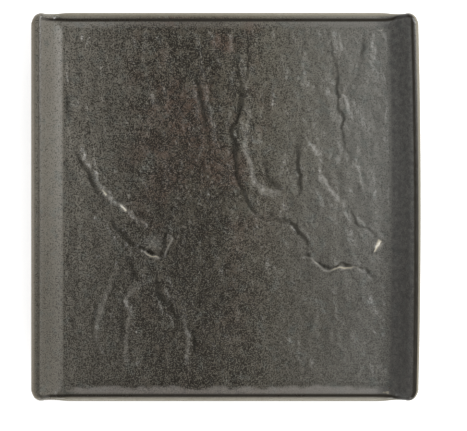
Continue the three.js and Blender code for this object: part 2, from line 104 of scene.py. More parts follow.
# The slate relief. A ledge is a step in the slate along its route, as wide as its broken face, with its rise
# at each point. Going along the route, the face looks to the left hand (1) or to the right hand (-1). Most
# routes run from the back lip towards the front one, where these are the platter's right and left.
Ledge = namedtuple("Ledge", "looks width route")
LEDGES = [
    # left side of the well
    Ledge(1, 5.3, [(-115, 50, 0.5), (-110, 41, 1.1), (-106, 33, 1.2), (-101, 23, 1.2), (-96, 13, 1.6),
                   (-92, 8, 2.0), (-88, 5, 1.4), (-83, 1, 2.2), (-78, -3, 1.6), (-71, -8, 1.7),
                   (-64, -14, 2.0), (-57, -17, 0.9)]),
    Ledge(-1, 3.2, [(-121, 50, 0.5), (-116, 41, 1.3), (-111, 32, 1.8), (-107, 24, 1.8), (-103, 16, 1.6),
                    (-98, 8, 1.2), (-93, 3, 0.5)]),
    Ledge(1, 2.4, [(-111, 25, 0.3), (-107, 19, 0.9), (-104, 13, 0.3)]),
    Ledge(-1, 4.0, [(-108, 2, 0.3), (-104, -3, 0.9), (-100, -7, 0.4)]),
    Ledge(1, 3.0, [(-112, -1, 0.3), (-107, -6, 0.7), (-103, -11, 0.3)]),
    Ledge(-1, 3.0, [(-93, -5, 0.5), (-88, -13, 2.1), (-83, -18, 2.2), (-78, -24, 2.0), (-73, -30, 2.0),
                    (-69, -34, 0.8)]),
    Ledge(1, 3.0, [(-94, -11, 0.3), (-87, -19, 0.6), (-80, -27, 0.6), (-74, -33, 0.3)]),
    Ledge(1, 3.0, [(-93, 117, 0.2), (-91, 110, 0.5), (-91, 104, 0.2)]),
    Ledge(-1, 3.0, [(-118, 103, 0.2), (-117, 94, 0.5), (-117, 86, 0.2)]),
    Ledge(1, 2.6, [(-60, 68, 0.3), (-60, 62, 0.9), (-60, 56, 0.2)]),
    Ledge(1, 2.2, [(-58, 92, 0.2), (-57, 85, 0.6), (-56, 79, 0.2)]),
    # the pocket left of the middle
    Ledge(1, 2.4, [(-70, -31, 0.5), (-64, -34, 1.8), (-58, -38, 2.2), (-52, -39.5, 2.2),
                   (-48, -38, 0.8)]),
    Ledge(1, 2.4, [(-47, -19, 0.4), (-43, -24, 1.5), (-44, -30, 1.6), (-47, -37, 1.6), (-50, -41, 0.5)]),
    Ledge(-1, 2.6, [(-52, -17, 0.5), (-48, -22, 1.9), (-47, -28, 1.9), (-50, -34, 0.7)]),
    Ledge(-1, 2.6, [(-73, -27, 0.4), (-68, -31, 1.6), (-62, -34, 1.8), (-56, -37, 1.2),
                    (-52, -38, 0.4)]),
    # middle of the well
    Ledge(-1, 3.4, [(7, 137, 0.9), (9, 116, 1.4), (10, 102, 1.5), (12, 90, 1.8), (12, 80, 2.0),
                    (11, 73, 1.8), (7, 66, 1.7), (4, 58, 2.1), (7, 50, 2.0), (8, 42, 2.0), (9, 33, 2.0),
                    (9, 23, 2.1), (12, 14, 2.3), (16, 6, 2.3), (20, -2, 2.2), (26, -7, 2.0),
                    (32, -9, 1.6), (38, -9, 0.8)]),
    Ledge(-1, 2.4, [(16, 137, 0.7), (17, 124, 1.0), (17, 110, 1.0), (16, 102, 0.9), (14, 95, 0.3)]),
    Ledge(-1, 2.0, [(10, 71, 0.3), (10, 64, 0.8), (10, 56, 1.0), (10, 50, 0.3)]),
    Ledge(1, 5.2, [(19, 100, 0.2), (18, 93, 0.7), (19, 80, 1.2), (18, 72, 1.5), (16, 64, 1.4),
                   (15, 55, 1.0), (15, 46, 1.6), (17, 38, 2.0), (20, 29, 1.9), (21, 22, 2.0),
                   (25, 15, 2.3), (30, 10, 2.3), (37, 8, 2.3), (44, 8, 1.0)]),
    Ledge(1, 6.5, [(-20, 118, 0.4), (-18, 107, 1.0), (-17, 95, 1.0), (-14, 83, 1.0), (-11, 70, 1.4),
                   (-8, 59, 1.0), (-8, 50, 1.0), (-6, 45, 1.0), (0, 42, 0.4)]),
    Ledge(1, 2.4, [(6, 77, 0.3), (2, 69, 0.9), (0, 61, 0.6), (-1, 56, 0.2)]),
    Ledge(1, 4.6, [(-27, 103, 0.3), (-25, 92, 1.0), (-21, 80, 1.0), (-22, 71, 0.9), (-25, 59, 0.3)]),
    Ledge(-1, 3.4, [(-24, 112, 0.5), (-22, 98, 1.6), (-20, 86, 1.9), (-18, 76, 2.0), (-16, 66, 1.8),
                    (-13, 58, 0.6)]),
    Ledge(-1, 3.0, [(-32, 101, 0.2), (-34, 94, 0.7), (-35, 88, 0.2)]),
    Ledge(1, 2.2, [(-38, 83, 0.2), (-37, 76, 0.9), (-34, 71, 0.9), (-30, 68, 0.2)]),
    Ledge(1, 3.0, [(-14, 49, 0.3), (-19, 43, 0.8), (-23, 36, 0.7), (-24, 31, 0.2)]),
    Ledge(1, 4.6, [(24, 25, 0.3), (28, 17, 1.4), (34, 12, 1.9), (41, 11, 1.7), (47, 13, 0.5)]),
    Ledge(-1, 3.4, [(29, 45, 0.3), (31, 34, 1.0), (33, 25, 1.3), (37, 19, 1.5), (43, 15.5, 1.4),
                    (49, 16, 0.5)]),
    Ledge(-1, 4.0, [(36, -1, 0.3), (35, -6, 1.3), (36, -11, 0.5)]),
    Ledge(-1, 3.2, [(34, -9, 0.6), (40, -9, 1.5), (46, -10, 1.7), (53, -14, 2.0), (58, -20, 2.2),
                    (62, -27, 2.1), (67, -34, 1.1)]),
    # right side of the well
    Ledge(-1, 2.4, [(81, 138, 0.8), (83, 124, 1.2), (86, 112, 1.1), (87, 102, 1.2), (87, 91, 1.3),
                    (88, 80, 1.3), (91, 72, 1.3), (91, 64, 1.3), (91, 56, 1.2), (94, 48, 1.1),
                    (97, 42, 0.8), (98, 28, 0.5), (98, 22, 0.2)]),
    Ledge(1, 5.3, [(58, 59, 0.3), (64, 52, 1.2), (69, 45, 2.2), (73, 40, 1.2), (73, 33, 1.0),
                   (75, 23, 1.5), (80, 16, 1.6), (84, 11, 1.8), (88, 6, 1.4), (92, 0, 2.0),
                   (95, -3, 0.4)]),
    Ledge(-1, 4.6, [(58, 54, 0.7), (57, 45, 1.8), (57, 36, 2.1), (57, 28, 2.2), (58, 19, 2.2),
                    (57, 12, 1.8), (54, 6, 0.6)]),
    Ledge(1, 3.0, [(88, 138, 0.4), (90, 127, 0.9), (89, 116, 0.4)]),
    Ledge(1, 4.0, [(92, 97, 0.3), (93, 87, 0.9), (96, 77, 1.0), (99, 69, 0.4)]),
    Ledge(-1, 4.0, [(109, 136, 0.3), (108, 124, 1.0), (106, 110, 0.4)]),
    Ledge(1, 4.0, [(114, 138, 0.3), (116, 127, 1.0), (115, 115, 0.4)]),
    Ledge(1, 4.0, [(122, 112, 0.3), (123, 101, 0.8), (121, 91, 0.3)]),
    Ledge(1, 3.0, [(124, 78, 0.3), (125, 67, 0.8), (123, 57, 0.3)]),
    Ledge(1, 3.0, [(103, 50, 0.3), (104, 44, 0.7), (104, 40, 0.2)]),
    Ledge(-1, 2.0, [(105, 41, 0.2), (103, 38, 0.9), (101, 36, 0.2)]),
    Ledge(1, 3.0, [(103, 37, 0.3), (104, 29, 1.0), (106, 20, 0.9), (108, 10, 0.3)]),
    Ledge(-1, 3.0, [(103, 20, 0.2), (104, 15, 0.8), (106, 10, 0.2)]),
    Ledge(-1, 2.2, [(94, -2, 0.4), (99, -5, 1.3), (101, -11, 1.4), (106, -15, 1.2), (112, -18, 1.2),
                    (117, -21, 1.1), (120, -25, 0.4)]),
    Ledge(1, 3.1, [(101, -7, 0.5), (105, -11, 1.3), (109, -15, 0.9), (112, -16, 0.3)]),
    Ledge(1, 3.0, [(123, -1, 0.3), (118, -5, 0.8), (116, -11, 0.2)]),
    Ledge(1, 5.8, [(123, -23, 0.5), (121, -27, 2.4), (118, -32, 2.4), (114, -37, 0.4)]),
    # the crack across the right side, dark on its back face and lit on its front one
    Ledge(-1, 2.0, [(57, -40, 0.6), (62, -37, 1.8), (67, -40, 1.8), (72, -43, 1.8), (77, -46, 1.6),
                    (83, -47, 1.0), (91, -44.5, 1.2), (100, -45.5, 1.4), (108, -48.5, 1.6),
                    (114, -54, 1.9), (118, -57, 0.8)]),
    Ledge(1, 2.2, [(59, -41, 0.8), (64, -40, 2.2), (69, -43, 2.3), (74, -46, 1.7), (79, -48.5, 1.6),
                   (85, -48.5, 2.1), (92, -46.5, 2.3), (100, -47.5, 2.1), (106, -50, 1.5),
                   (111, -54, 0.6)]),
    Ledge(-1, 3.0, [(60, -42, 0.3), (66, -46, 0.9), (72, -50, 0.4)]),
    # towards the front lip
    Ledge(1, 5.0, [(-79, -40, 0.5), (-84, -48, 1.1), (-89, -58, 1.1), (-94, -70, 1.2), (-98, -82, 1.3),
                   (-100, -93, 1.3), (-100, -103, 1.2), (-97, -113, 1.1), (-98, -124, 0.6)]),
    Ledge(-1, 3.4, [(-99, -70, 0.3), (-103, -84, 1.0), (-104, -100, 1.0), (-102, -114, 0.8),
                    (-103, -122, 0.3)]),
    Ledge(-1, 3.0, [(-79, -36, 0.5), (-75, -44, 1.6), (-70, -54, 1.2), (-67, -59, 0.3)]),
    Ledge(1, 5.0, [(-59, -51, 0.5), (-60, -57, 1.2), (-67, -60, 1.2), (-73, -64, 1.3), (-77, -73, 1.6),
                   (-75, -83, 1.2), (-76, -94, 1.2), (-78, -105, 1.4), (-78, -116, 1.3),
                   (-75, -129, 0.6)]),
    Ledge(-1, 3.4, [(-79, -66, 0.3), (-82, -76, 0.9), (-81, -90, 0.8), (-83, -106, 0.9),
                    (-82, -122, 0.3)]),
    Ledge(-1, 4.0, [(-60, -108, 0.3), (-63, -116, 1.0), (-67, -126, 0.4)]),
    Ledge(-1, 3.6, [(-58, -50, 0.5), (-54, -59, 1.9), (-52, -68, 1.9), (-46, -75, 1.9), (-40, -82, 1.9),
                    (-37, -90, 1.6), (-35, -98, 0.6)]),
    Ledge(1, 3.0, [(-50, -60, 0.3), (-46, -67, 0.9), (-41, -73, 0.4)]),
    Ledge(1, 2.8, [(-55, -70, 0.4), (-51, -78, 1.1), (-48, -84, 0.4)]),
    Ledge(1, 2.4, [(-47, -81, 0.3), (-43, -87, 0.8), (-40, -93, 0.3)]),
    Ledge(1, 4.8, [(-37, -75, 0.5), (-33, -86, 1.2), (-30, -96, 1.3), (-29, -108, 1.4), (-31, -118, 1.1),
                   (-28, -126, 0.8), (-25, -135, 0.4)]),
    Ledge(-1, 4.0, [(-27, -88, 0.4), (-25, -98, 1.6), (-25, -110, 1.6), (-28, -120, 0.6)]),
    Ledge(1, 3.0, [(-20, -105, 0.3), (-13, -106, 0.6), (-7, -108, 0.3)]),
    Ledge(1, 3.0, [(56, -100, 0.2), (57, -110, 0.6), (56, -121, 0.2)]),
    Ledge(1, 3.0, [(68, -112, 0.2), (67, -122, 0.6), (67, -131, 0.2)]),
    Ledge(1, 3.0, [(83, -95, 0.2), (83, -102, 0.5), (82, -109, 0.2)]),
    Ledge(-1, 3.0, [(97, -72, 0.2), (98, -77, 0.8), (99, -82, 0.2)]),
    Ledge(1, 4.0, [(117, -88, 0.2), (116, -95, 0.5), (115, -101, 0.2)]),
    Ledge(-1, 3.0, [(119, -89, 0.2), (118, -94, 0.7), (118, -99, 0.2)]),
    Ledge(1, 3.0, [(114, -98, 0.2), (109, -106, 0.8), (102, -113, 0.2)]),
    Ledge(1, 3.0, [(112, -118, 0.2), (107, -125, 0.8), (101, -132, 0.2)]),
    Ledge(1, 4.0, [(123, -107, 0.2), (118, -117, 0.6), (112, -128, 0.2)]),
]
# Chipped facets that look to the key light: middle, length, width and heading in degrees from X. Their cream
# is a painted glint. The one on the front lip has no dent and is only a painted highlight.
FACETS = [
    (118, -30.5, 14, 5.5, 62),
    (120, 138, 8, 2.6, 4),
    (124.5, -144.6, 8, 4.6, 0),
    (-95, 11.5, 9, 4.2, -50),
    (-80.5, -0.3, 11, 4.2, -46),
]
# Slope of a facet, and the way it looks in degrees from X
FACET_PITCH = 0.5
FACET_LOOKS = 28
# The pocket's hollow: middle, half sizes and depth
POCKET = (-56, -28, 9, 7, 0.7)
# Ledges: how many times its drawn rise a ledge is made, the widths beside it and the millimetres past its
# ends over which it fades out, the spread of the colour over its face, the width up to which a face is steep
# enough to show fully, the way between the points of a route, and the nodes that are measured from it at once
RELIEF = 1.3
LEDGE_REACH = 4.5
LEDGE_END = 4.0
FACE_SPREAD = 0.55
STEEP_FACE = 3.6
ROUTE_SAMPLE = 0.6
NODES_AT_ONCE = 4000
# How far a ledge's face frays to either side, the share by which its height varies, and the heights of the
# waves, streaks, lumps and pebbles
FRAY = 2.2
UNEVEN = 0.7
SWELL = 0.32
STREAK = 0.7
LUMP = 0.9
PEBBLE = 2.0
# The pebbled area: middle and half sizes
PEBBLED = (-30, 0, 60, 95)
# The clay lies this far below the slate, and the relief fades out this far inside the edge of the slate
RIVEN_DEPTH = 3.6
RELIEF_INSET = 2.0
# Where the slate fades out, past the foot of the ends and the lips: from and to. It wanders along the lips,
# and the middle of the slate lies a little to the right.
END_FADE = (-1.5, 2.5)
LIP_FADE = (-0.6, 3.2)
LIP_WANDER = 3.0
SLATE_SHIFT = 1.4

# The waves under the ledges: length, heading in degrees from X, and the phase at the centre in degrees
WAVES = [(62, 12, 23), (49, 75, 120), (40, 140, 229), (33, 48, 298), (28, 108, 74)]

# Colours of the glaze as on a screen, the first ones with their share of the way from left to right
# The ground tones are partly the glaze's own colour and partly painted sheen, paler and greyer to the right;
# the front brown is painted shade.
GLAZE_TONES_AND_SHEEN = [(0.06, (110, 106, 97)), (0.2, (91, 87, 78)), (0.34, (75, 69, 58)), (0.46, (70, 64, 52)),
               (0.6, (94, 90, 79)), (0.78, (96, 94, 87)), (0.9, (105, 104, 99))]
FRONT_SHADE_BROWN = (58, 53, 45)
RUST = (80, 57, 45)
SLATY_GREY = (84, 90, 86)
PALE_FLECK_GLINT = (150, 148, 136)
DARK_SPECK = (24, 17, 4)
POOLED_AND_SHADE_BROWN = (40, 36, 24)
BROKEN_AND_LIT_GREY = (156, 153, 145)
CHIP_GLINT_CREAM = (214, 204, 178)
END_SHADE = (42, 39, 40)
LIP_SHEEN_GREY = (158, 152, 148)
LEFT_EDGE_LIT_BEIGE = (146, 135, 116)
EDGE_BEIGE = (138, 132, 114)
CREST_BLACK_AND_SHADE = (31, 26, 17)
# Colours of the glaze within the foot ring, of the bare clay and of the table
BASE_THIN = (88, 84, 76)
BASE_POOLED = (70, 65, 57)
BASE_SPECK = (30, 27, 22)
BASE_FLECK = (140, 135, 122)
CLAY_BUFF = (176, 156, 128)
CLAY_TOASTED = (152, 128, 99)
CLAY_GROG = (84, 66, 48)
TABLE_WHITES = ((238, 238, 238), (242, 242, 242))
# Where rust gathers in the glaze, in metres
RUST_MIDDLE = (-0.036, 0.055, 0.01)
# The first ring lies this far outside the crest, and the bead this far past the last one
FIRST_RING_WAY = 0.6
BEAD_WAY = 0.5
# The dark line along the crest, partly the glaze's own dark line and partly painted shade, is moved outwards
# by so many millimetres on the right end, inwards on the left one, and to the front by so many millimetres a
# metre
CREST_SHIFT_RIGHT = 1.7
CREST_SHIFT_LEFT = -1.1
CREST_SHIFT_Y = -3.7

# The camera: straight down from above, its height over the table in metres, its focal length in pixels, and
# the pixel over the platter's origin
PICTURE = (467, 431)
CAMERA_HEIGHT = 1.5
FOCAL_PIXELS = 1909.4
ORIGIN_PIXEL = (226.1, 207.0)
SENSOR = 36.0

# The table: half its size, and how far it lies below the foot ring, in metres
TABLE_REACH = 9.0
TABLE_DROP = 0.0003


# Shapes of the platter

def smooth_step(value, low, high):
    """0 below low, 1 above high, smooth between."""
    share = np.clip((value - low) / (high - low), 0, 1)
    return share * share * (3 - 2 * share)


def eased_slope(share, ease_foot, ease_crest, start):
    """A slope from 0 to 1 that starts at a share of its full pitch, steepens and eases into its crest."""
    curved = ease_foot * (1 - start) / 2
    pitch = 1 / (1 - curved - ease_crest / 2)
    share = np.clip(share, 0, 1)
    foot = pitch * (start * share + (1 - start) * share ** 2 / (2 * ease_foot))
    straight = pitch * (share - curved)
    crest = 1 - pitch * (1 - share) ** 2 / (2 * max(ease_crest, 1e-6))
    return np.where(share < ease_foot, foot, np.where(share < 1 - ease_crest, straight, crest))


def higher(one, two):
    """The higher of two slopes, rounded where they meet."""
    return (one ** 4 + two ** 4) ** 0.25


def upper_height(x, y):
    end = (END_HEIGHT - WELL_HEIGHT) * eased_slope((np.abs(x) - FLOOR_X) / END_RUN, *END_SLOPE)
    lip = (LIP_HEIGHT - WELL_HEIGHT) * eased_slope((np.abs(y) - FLOOR_Y) / LIP_RUN, *LIP_SLOPE)
    return FLOOR_Z + higher(end, lip)


def lower_height(x, y):
    end_span = CREST_X + END_EDGE - UNDER_EDGE - HEEL_X
    lip_span = CREST_Y + LIP_EDGE - UNDER_EDGE - HEEL_Y
    end_rise = END_HEIGHT - GLAZE - END_THICK - FOOT_HEIGHT
    lip_rise = LIP_HEIGHT - GLAZE - LIP_THICK - FOOT_HEIGHT
    end = end_rise * eased_slope((np.abs(x) - HEEL_X) / end_span, *UNDER_SLOPE)
    lip = lip_rise * eased_slope((np.abs(y) - HEEL_Y) / lip_span, *UNDER_SLOPE)
    return FOOT_HEIGHT + higher(end, lip)


def outward(x, y):
    """Direction out of the crest's rectangle at a grid node, zero inside its straight part."""
    over_x = np.sign(x) * np.maximum(0, np.abs(x) - CREST_X + CREST_CORNER) / CREST_CORNER
    over_y = np.sign(y) * np.maximum(0, np.abs(y) - CREST_Y + CREST_CORNER) / CREST_CORNER
    return over_x, over_y


def rounded_place(x, y, half_x, half_y, radius):
    """A grid node's place on a rounded rectangle of the given half sizes and corner radius."""
    core_x = np.clip(x / (CREST_X - CREST_CORNER), -1, 1)
    core_y = np.clip(y / (CREST_Y - CREST_CORNER), -1, 1)
    over_x, over_y = outward(x, y)
    reach = np.maximum(np.abs(over_x), np.abs(over_y))
    stretch = radius * reach / np.maximum(np.hypot(over_x, over_y), 1e-9)
    return core_x * (half_x - radius) + over_x * stretch, core_y * (half_y - radius) + over_y * stretch


def near_corner(x):
    """How near a place along a lip is to the corner: 0 along the lip, 1 at the raised end."""
    return smooth_step(np.abs(x), FLOOR_X - EDGE_BLEND, CREST_X - CREST_CORNER)


def swung(x, y, z):
    """The rim in plan: the right end swings out in the middle, each lip flares out towards its corners."""
    of_end = smooth_step(x, 0, FLOOR_X)
    of_lip = np.clip((np.abs(y) - FLOOR_Y) / LIP_RUN, 0, 1)
    along = np.clip(y / CREST_Y, -1, 1)
    out_x = x + RIGHT_BOW * of_end * (1 - along ** 2) - RIGHT_BOW / 2
    out_y = y + np.sign(y) * CORNER_FLARE * of_lip * near_corner(x)
    return np.stack([out_x, out_y, np.broadcast_to(z, np.shape(out_x))], axis=-1)


# The slate relief

def smooth_route(route):
    """Points, directions and rises along a smooth curve through a ledge's route, tapered at its ends."""
    knots = np.array([route[0], *route, route[-1]], float)
    knots[0] = 2 * knots[1] - knots[2]
    knots[-1] = 2 * knots[-2] - knots[-3]
    pieces = []
    for before, start, end, after in zip(knots, knots[1:], knots[2:], knots[3:]):
        steps = max(2, int(np.hypot(*(end - start)[:2]) / ROUTE_SAMPLE))
        t = np.linspace(0, 1, steps, endpoint=False)[:, None]
        bend = 2 * before - 5 * start + 4 * end - after
        twist = 3 * start - before - 3 * end + after
        pieces.append(0.5 * (2 * start + (end - before) * t + bend * t ** 2 + twist * t ** 3))
    line = np.concatenate([*pieces, knots[-2:-1]])
    along = np.gradient(line[:, :2], axis=0)
    along /= np.maximum(np.hypot(along[:, 0], along[:, 1])[:, None], 1e-9)
    taper = np.sin(np.pi * np.linspace(0.01, 0.99, len(line))) ** 0.4
    return line[:, :2], along, line[:, 2] * taper


def ledge_relief(ledge, x, y, fray):
    """Height of one ledge, half its rise up behind its face and half down in front, and a bell over it."""
    height, face = np.zeros_like(x), np.zeros_like(x)
    line, along, rise = smooth_route(ledge.route)
    reach = LEDGE_REACH * ledge.width
    low, high = line.min(axis=0) - reach, line.max(axis=0) + reach
    near = np.nonzero((x > low[0]) & (x < high[0]) & (y > low[1]) & (y < high[1]))[0]
    for part in np.array_split(near, max(1, len(near) // NODES_AT_ONCE)):
        gap_x = x[part][:, None] - line[:, 0]
        gap_y = y[part][:, None] - line[:, 1]
        nearest = np.argmin(gap_x ** 2 + gap_y ** 2, axis=1)
        pick = np.arange(len(part))
        gap_x, gap_y = gap_x[pick, nearest], gap_y[pick, nearest]
        tangent = along[nearest]
        across = ledge.looks * (gap_y * tangent[:, 0] - gap_x * tangent[:, 1])
        past_end = np.abs(gap_x * tangent[:, 0] + gap_y * tangent[:, 1])
        frayed = across + FRAY * fray[part]
        here = rise[nearest] * (1 - smooth_step(past_end, 0, LEDGE_END))
        step = 0.5 - smooth_step(frayed, -ledge.width / 2, ledge.width / 2)
        height[part] = RELIEF * here * step * (1 - np.clip(np.abs(across) / reach, 0, 1)) ** 2
        bell = np.exp(-(frayed / (FACE_SPREAD * ledge.width)) ** 2)
        face[part] = here * bell * min(1, STEEP_FACE / ledge.width)
    return height, face


def noise_over(x, y, size, seed):
    """Smooth random height about zero, up to about 1 either way, with lumps about size across. It is turned,
    so that it doesn't line up with the grid."""
    turned_x = (0.8 * x + 0.6 * y) / size
    turned_y = (0.8 * y - 0.6 * x) / size
    level = seed * 7.3
    places = [Vector((a, b, level)) for a, b in zip(turned_x, turned_y)]
    return np.array([noise.fractal(place, 0.8, 2.1, 2) for place in places])


def facet_relief(x, y):
    """Height of the chipped facets, each wider at its far end, and where they are."""
    height, chipped = np.zeros_like(x), np.zeros_like(x)
    looks = math.radians(FACET_LOOKS)
    for middle_x, middle_y, length, width, heading in FACETS:
        turn = math.radians(heading)
        gap_x, gap_y = x - middle_x, y - middle_y
        along = gap_x * math.cos(turn) + gap_y * math.sin(turn)
        across = np.abs(gap_y * math.cos(turn) - gap_x * math.sin(turn))
        half = width / 2 * (0.7 + 0.6 * along / length)
        within_length = 1 - smooth_step(np.abs(along), length / 2 - 2, length / 2)
        within_width = 1 - smooth_step(across, half - 1, half)
        window = within_length * within_width
        height -= FACET_PITCH * (gap_x * math.cos(looks) + gap_y * math.sin(looks)) * window
        chipped = np.maximum(chipped, window)
    return height, chipped


def waves(x, y):
    """The broad waves of the slate, under its ledges."""
    height = np.zeros_like(x)
    for length, heading, phase in WAVES:
        angle = math.radians(heading)
        way = (x + RIGHT_BOW / 2) * math.cos(angle) + y * math.sin(angle)
        height += SWELL * np.sin(2 * math.pi * way / length + math.radians(phase))
    return height


def slate_relief(x, y):
    """Height of the riven slate over the plain floor; where its glaze is darker, pooled in hollows and as
    painted shade on faces turned from the light; and where it is paler, broken over lit faces and chips as a
    painted highlight.
    """
    fray = noise_over(x, y, size=7, seed=1)
    ledges, pooled, broken = np.zeros_like(x), np.zeros_like(x), np.zeros_like(x)
    for ledge in LEDGES:
        height, face = ledge_relief(ledge, x, y, fray)
        ledges += height
        if ledge.looks > 0:
            # Faces turned to the key light: thinner glaze, and painted highlight.
            broken = np.maximum(broken, face)
        else:
            # Faces turned from the key light: glaze pooled dark, and painted shade.
            pooled = np.maximum(pooled, face)
    ledges *= 1 + UNEVEN * noise_over(x, y, size=6, seed=6)

    *pocket_area, depth = POCKET
    pocket = bell_over(x, y, *pocket_area)
    ledges -= depth * pocket
    pooled *= 1 - 0.5 * pocket
    # Painted highlight: the pocket is painted pale.
    broken = np.maximum(broken, 1.1 * pocket)

    warp = 6 * noise_over(x, y, size=30, seed=4)
    streaks = STREAK * noise_over(x + warp, (y - warp) / 3, size=8, seed=5)
    lumpy = LUMP * noise_over(x, y, size=9, seed=7)
    pebbled = 0.3 + 0.7 * bell_over(x, y, *PEBBLED)
    lumps = np.abs(noise_over(x, y, size=3.6, seed=3))
    pebbles = PEBBLE * pebbled * (lumps - 0.25)
    between_lumps = 1 - smooth_step(lumps, 0, 0.25)
    pooled = np.maximum(pooled, 1.3 * pebbled * (1 - pocket) * between_lumps)

    share = slate_share(x, y, RELIEF_INSET)
    facets, chipped = facet_relief(x, y)
    relief = (ledges + waves(x, y) + streaks + lumpy + pebbles) * share * (1 - 0.8 * chipped)
    relief += facets * smooth_step(share, 0, 0.3)
    return relief, pooled * share * (1 - chipped), np.maximum(broken * share, 2 * chipped)


def bell_over(x, y, middle_x, middle_y, half_x, half_y):
    """1 in the middle of an area, fading to nothing past its half sizes."""
    return np.exp(-((x - middle_x) / half_x) ** 2 - ((y - middle_y) / half_y) ** 2)


def slate_share(x, y, inset=0.0):
    """1 over the slate, 0 up the ends and lips, with a short uneven run between that starts inset earlier."""
    of_end = smooth_step(x, 0, FLOOR_X)
    straight = x + RIGHT_BOW / 2 - RIGHT_BOW * of_end * (1 - np.clip(y / CREST_Y, -1, 1) ** 2)
    off_middle = np.abs(straight - SLATE_SHIFT)
    ragged = np.abs(y) + LIP_WANDER * noise_over(x, y, size=12, seed=8)
    end_from, end_to = END_FADE
    lip_from, lip_to = LIP_FADE
    past_end = smooth_step(off_middle, FLOOR_X + end_from - inset, FLOOR_X + end_to - 1.5 * inset)
    past_lip = smooth_step(ragged, FLOOR_Y + lip_from - 1.7 * inset, FLOOR_Y + lip_to - 1.1 * inset)
    return (1 - past_end) * (1 - past_lip)


# Meshes

def grid_lines(half, floor_half, floor_cells, slope_cells, finer):
    floor = np.linspace(0, floor_half, floor_cells * finer + 1)
    straight = np.linspace(floor_half, half - CREST_CORNER, slope_cells * finer + 1)[1:]
    corner = np.linspace(half - CREST_CORNER, half, CORNER_CELLS * finer + 1)[1:]
    lines = np.concatenate([floor, straight, corner])
    return np.concatenate([-lines[:0:-1], lines])


def border_of(columns, rows):
    """Places of the border nodes of a grid, once round."""
    index = np.arange(columns * rows).reshape(columns, rows)
    return np.concatenate([index[:-1, 0], index[-1, :-1], index[:0:-1, -1], index[0, :0:-1]])


def outside_rings(x, y):
    """Rings from just outside the crest over the rolled edge and the underside to the foot ring."""
    over_x, over_y = outward(x, y)
    length = np.hypot(over_x, over_y)
    on_end = np.abs(over_x) / (np.abs(over_x) + np.abs(over_y))
    on_lip = LIP_EDGE + (CORNER_EDGE - LIP_EDGE) * near_corner(x)
    width = on_lip + (END_EDGE - on_lip) * on_end
    crest_x, crest_y = rounded_place(x, y, CREST_X, CREST_Y, CREST_CORNER)
    top = upper_height(crest_x, crest_y)

    def beside(reach):
        return crest_x + over_x / length * reach, crest_y + over_y / length * reach

    under_x, under_y = beside(width - UNDER_EDGE)
    low = lower_height(under_x, under_y)
    middle = top + (low - top) * WIDEST
    rings = []
    for angle in np.linspace(0, math.pi / 2, EDGE_RINGS + 1)[1:]:
        rings.append(swung(*beside(width * math.sin(angle)), middle + (top - middle) * math.cos(angle)))
    for angle in np.linspace(0, math.pi / 2, EDGE_RINGS + 1)[1:]:
        rings.append(swung(*beside(width - UNDER_EDGE * (1 - math.cos(angle))),
                           middle + (low - middle) * math.sin(angle)))
    heel_x, heel_y = rounded_place(x, y, HEEL_X, HEEL_Y, HEEL_CORNER)
    for share in np.linspace(0, 1, HEEL_RINGS + 1)[1:]:
        flat_x = under_x + (heel_x - under_x) * share
        flat_y = under_y + (heel_y - under_y) * share
        rings.append(swung(flat_x, flat_y, lower_height(flat_x, flat_y)))
    rings.append(foot_ring(x, y, FOOT_INSET, FOOT_HEIGHT))
    return rings


def foot_ring(x, y, inset, z):
    """A ring round the foot, a given way inside the edge of the well."""
    radius = FOOT_CORNER - (inset - FOOT_INSET)
    flat_x, flat_y = rounded_place(x, y, FLOOR_X - inset, FLOOR_Y - inset, radius)
    return np.stack([flat_x - RIGHT_BOW / 2, flat_y, np.full_like(flat_x, z)], axis=-1)


def grid_faces(columns, rows):
    index = np.arange(columns * rows).reshape(columns, rows)
    corners = [index[:-1, :-1], index[1:, :-1], index[1:, 1:], index[:-1, 1:]]
    return np.stack([corner.ravel() for corner in corners], axis=1)


def ring_faces(above, below):
    return np.stack([above, below, np.roll(below, -1), np.roll(above, -1)], axis=1)


def platter_skin(finer):
    """The plain upper and outer face down to the foot ring: points, faces, the last ring, the places of the
    upper face's nodes, and the rim's nodes."""
    lines_x = grid_lines(CREST_X, FLOOR_X, FLOOR_CELLS_X, END_CELLS, finer)
    lines_y = grid_lines(CREST_Y, FLOOR_Y, FLOOR_CELLS_Y, LIP_CELLS, finer)
    node_x, node_y = [node.ravel() for node in np.meshgrid(lines_x, lines_y, indexing="ij")]
    flat_x, flat_y = rounded_place(node_x, node_y, CREST_X, CREST_Y, CREST_CORNER)
    points = [swung(flat_x, flat_y, upper_height(flat_x, flat_y))]
    faces = [grid_faces(len(lines_x), len(lines_y))]
    border = border_of(len(lines_x), len(lines_y))
    above, count = border, len(node_x)
    for ring in outside_rings(node_x[border], node_y[border]):
        below = count + np.arange(len(border))
        points.append(ring)
        faces.append(ring_faces(above, below))
        above, count = below, count + len(border)
    rim = node_x[border], node_y[border]
    return np.concatenate(points), np.concatenate(faces), above, (flat_x, flat_y), rim


def vertex_normals(points, faces):
    across = points[faces[:, 2]] - points[faces[:, 0]]
    along = points[faces[:, 3]] - points[faces[:, 1]]
    normals = np.zeros_like(points)
    for corner in faces.T:
        np.add.at(normals, corner, np.cross(across, along))
    return normals / np.maximum(np.linalg.norm(normals, axis=1)[:, None], 1e-12)


def new_piece(name, points, faces, material):
    mesh = bpy.data.meshes.new(name)
    mesh.from_pydata((points * MM).tolist(), [], [face.tolist() for face in faces])
    mesh.polygons.foreach_set("use_smooth", [True] * len(mesh.polygons))
    mesh.materials.append(material)
    piece = bpy.data.objects.new(name, mesh)
    bpy.context.scene.collection.objects.link(piece)
    return piece


def paint_values(piece, name, values):
    """Keeps one number per point on a mesh, for its material to read."""
    layer = piece.data.attributes.new(name, "FLOAT", "POINT")
    layer.data.foreach_set("value", np.asarray(values, np.float32))


